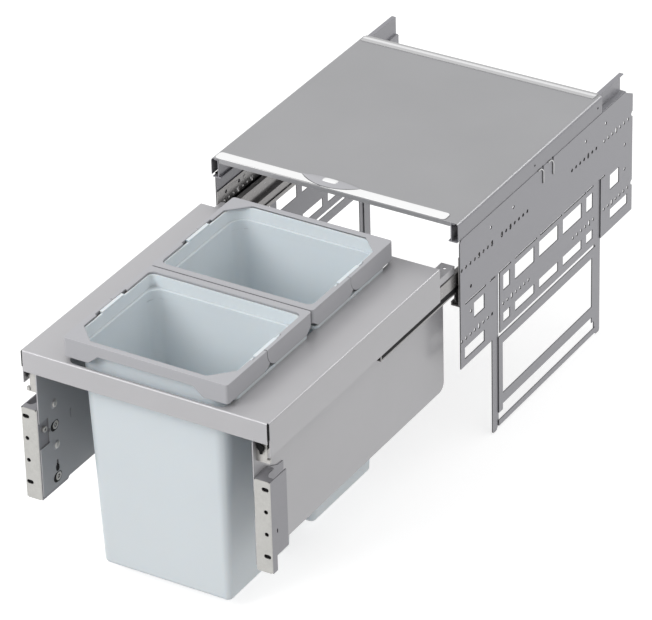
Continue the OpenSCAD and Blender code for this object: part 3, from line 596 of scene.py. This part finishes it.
# Name, slot, body that it rides on, softened edge, smooth shading, shape
SIDE_PIECES = (
    ("bracket_backing", "black_plastic", "drawer", 0.4, False, bracket_backing),
    ("cam_washers", "black_plastic", "drawer", 0.15, False, cam_washers),
    ("cam_screws", "zinc", "drawer", 0, True, cam_screws),
    ("seat_rivets", "zinc", "drawer", 0, True, seat_rivets),
    ("corner_guard", "black_plastic", "drawer", 0.2, False, corner_guard),
    ("rail_liner", "black_plastic", "middle_{}", 0.1, False, rail_liner),
    ("latch", "black_plastic", "drawer", 0.3, False, latch),
    ("clip_wires", "zinc", "cabinet_frame", 0, True, clip_wires),
    ("rail_seal", "black_plastic", "cabinet_frame", 0.15, False, rail_seal),
    ("lid_rivets", "black_plastic", "lid_shelf", 0, True, lid_rivets),
    ("rail_rivets", "zinc", "cabinet_frame", 0, True, rail_rivets),
)
for side, k in (("left", -1), ("right", 1)):
    for name, slot, body, edge, smooth, shape in SIDE_PIECES:
        piece(f"{name}_{side}", slot, body.format(side), edge, smooth, shape, k)

# ---------------------------------------------------------------- the lid's trim
# Grip: middle and half length across, line that joins its tips, reach to the front and to the rear of it
GRIP_X, GRIP_HALF, GRIP_Y, GRIP_FRONT, GRIP_BACK = -12.5, 42.5, 466.0, 16.0, 3.0
GRIP_RIM, GRIP_RISE, GRIP_TIP = 1.25, 2.8, 0.012
GRIP_COLS, GRIP_ROWS = 48, 12
INLAY_X, INLAY_Y, INLAY_HALF = GRIP_X + 1.0, 463.0, (10.5, 5.2)
INLAY_SIDES, INLAY_RINGS, INLAY_SQUARE = 40, 5, 0.45


def grip_edges(fullness):
    """Front and rear edge of the grip where it is this full, from 0 at its tips to 1 in its middle."""
    return GRIP_Y - GRIP_FRONT * fullness, GRIP_Y + GRIP_BACK * fullness


def grip_z(x, y):
    """Height of the grip's domed top above the lid."""
    u = min(abs(x - GRIP_X) / GRIP_HALF, 1.0)
    fullness = 1 - u * u
    front, rear = grip_edges(fullness)
    v = min(max((y - front) / max(rear - front, 0.01), 0.0), 1.0)
    return GRIP_RIM + GRIP_RISE * fullness ** 0.7 * math.sin(math.pi * (0.06 + 0.66 * v))


def grip_cap(bm):
    """Almond-shaped grip with a domed top."""
    columns = []
    for i in range(GRIP_COLS + 1):
        u = -math.cos(math.pi * i / GRIP_COLS)
        x = GRIP_X + GRIP_HALF * u
        front, rear = grip_edges(max(1 - u * u, GRIP_TIP))
        line = [(x, front + (rear - front) * j / GRIP_ROWS) for j in range(GRIP_ROWS + 1)]
        columns.append([[bm.verts.new(at(px, py, LID_TOP)) for px, py in line],
                        [bm.verts.new(at(px, py, LID_TOP + grip_z(px, py))) for px, py in line]])
    for (a_low, a_top), (b_low, b_top) in zip(columns, columns[1:]):
        for j in range(GRIP_ROWS):
            bm.faces.new((a_top[j], b_top[j], b_top[j + 1], a_top[j + 1]))
            bm.faces.new((a_low[j], a_low[j + 1], b_low[j + 1], b_low[j]))
        for j in (0, GRIP_ROWS):
            bm.faces.new((a_low[j], b_low[j], b_top[j], a_top[j]))
    for low, top in (columns[0], columns[-1]):
        bm.faces.new(low + top[::-1])


def grip_inlay(bm):
    """Pale inlay on the grip, with rounded corners, that follows the dome."""
    rows = []
    for ring in range(1, INLAY_RINGS + 1):
        lift = 0.3 if ring < INLAY_RINGS else 0.1
        row = []
        for a in turn(INLAY_SIDES):
            reach = [half * ring / INLAY_RINGS * math.copysign(abs(c) ** INLAY_SQUARE, c)
                     for half, c in zip(INLAY_HALF, (math.cos(a), math.sin(a)))]
            x, y = INLAY_X + reach[0], INLAY_Y + reach[1]
            row.append(bm.verts.new(at(x, y, LID_TOP + grip_z(x, y) + lift)))
        rows.append(row)
    rows.append([bm.verts.new(v.co - Vector((0, 0, 0.6 * MM))) for v in rows[-1]])
    skin(bm, rows)
    bm.faces.new(rows[0])
    bm.faces.new(rows[-1])


# The rear strip's section: distance back from its front edge, height above the lid
STRIP = ((0.0, 0.0), (0.0, 1.0), (0.6, 1.3), (5.4, 1.2), (6.6, 1.7), (9.8, 1.7), (11.2, 1.1), (14.8, 1.0),
         (15.8, 0.7), (STRIP_D, 0.0))


def rear_strip_cap(bm):
    """Trim strip on the lid's rear edge: a flat, a bead and a lower rear edge."""
    extrude_x(bm, [(y + STRIP_FRONT, z + LID_TOP) for y, z in STRIP], -STRIP_HALF, STRIP_HALF)


grip = piece("grip_cap", "grip_plastic", "lid_shelf", 0.35, True, grip_cap)
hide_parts("lid_grip")
piece("grip_inlay", "white_plastic", "lid_shelf", 0, True, grip_inlay)
strip = piece("rear_strip_cap", "white_plastic", "lid_shelf", 0.15, False, rear_strip_cap)
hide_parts("lid_rear_strip")

# ---------------------------------------------------------------- stage and light
FLOOR_HALF, FLOOR_Z = 25.0, -0.001
FLOOR_LOOK = {"Base Color": (0.5, 0.5, 0.5, 1), "Roughness": 0.95, "Specular IOR Level": 0.0,
              "Emission Color": (1, 1, 1, 1), "Emission Strength": 0.68}
# The sky's strength, from below the horizon to overhead, and the heights between which it rises
SKY, SKY_Z = (0.42, 0.98), (-0.5, 0.9)
# Name, place, size, power, whether it lights rough surfaces
LAMPS = (("key", (-1.5, -2.9, 2.35), 1.7, 60, True),
         ("rim", (1.9, 2.7, 1.95), 0.9, 30, False))
AIM = Vector((0, 0, 0.25))


def add_floor():
    m, t, shader = material("floor")
    for socket, value in FLOOR_LOOK.items():
        shader.inputs[socket].default_value = value
    # Seen from below, the floor lets the camera through
    below = node(t, "NewGeometry").outputs["Backfacing"]
    clear = node(t, "BsdfTransparent")
    surface = node(t, "MixShader", links={0: below, 1: shader.outputs[0], 2: clear.outputs[0]})
    t.links.new(surface.outputs[0], t.nodes["Material Output"].inputs["Surface"])
    me = bpy.data.meshes.new("floor")
    corners = [(x * FLOOR_HALF, y * FLOOR_HALF, FLOOR_Z) for x, y in ((-1, -1), (1, -1), (1, 1), (-1, 1))]
    me.from_pydata(corners, [], [(0, 1, 2, 3)])
    me.materials.append(m)
    o = bpy.data.objects.new("floor", me)
    o.visible_diffuse = False
    bpy.context.scene.collection.objects.link(o)


def add_world():
    w = bpy.data.worlds.new("world")
    w.use_nodes = True
    t = w.node_tree
    back = t.nodes["Background"]
    back.inputs["Color"].default_value = (1, 1, 1, 1)
    sky = map_range(t, axis_of(t, "Generated", "Z"), *SKY_Z, *SKY)
    sky.node.interpolation_type = "SMOOTHSTEP"
    # The camera sees plain white above the floor's horizon
    seen = node(t, "LightPath").outputs["Is Camera Ray"]
    t.links.new(mix(t, "FLOAT", seen, sky, 1.0), back.inputs["Strength"])
    bpy.context.scene.world = w


def add_lamps():
    for name, place, size, power, diffuse in LAMPS:
        d = bpy.data.lights.new(name, "AREA")
        d.energy, d.size = power, size
        o = bpy.data.objects.new(name, d)
        o.location = place
        o.rotation_euler = (AIM - Vector(place)).to_track_quat("-Z", "Y").to_euler()
        o.visible_diffuse = diffuse
        bpy.context.scene.collection.objects.link(o)


add_camera()
add_floor()
add_world()
add_lamps()
bpy.context.scene.view_settings.view_transform = "Standard"
bpy.context.scene.view_settings.look = "None"
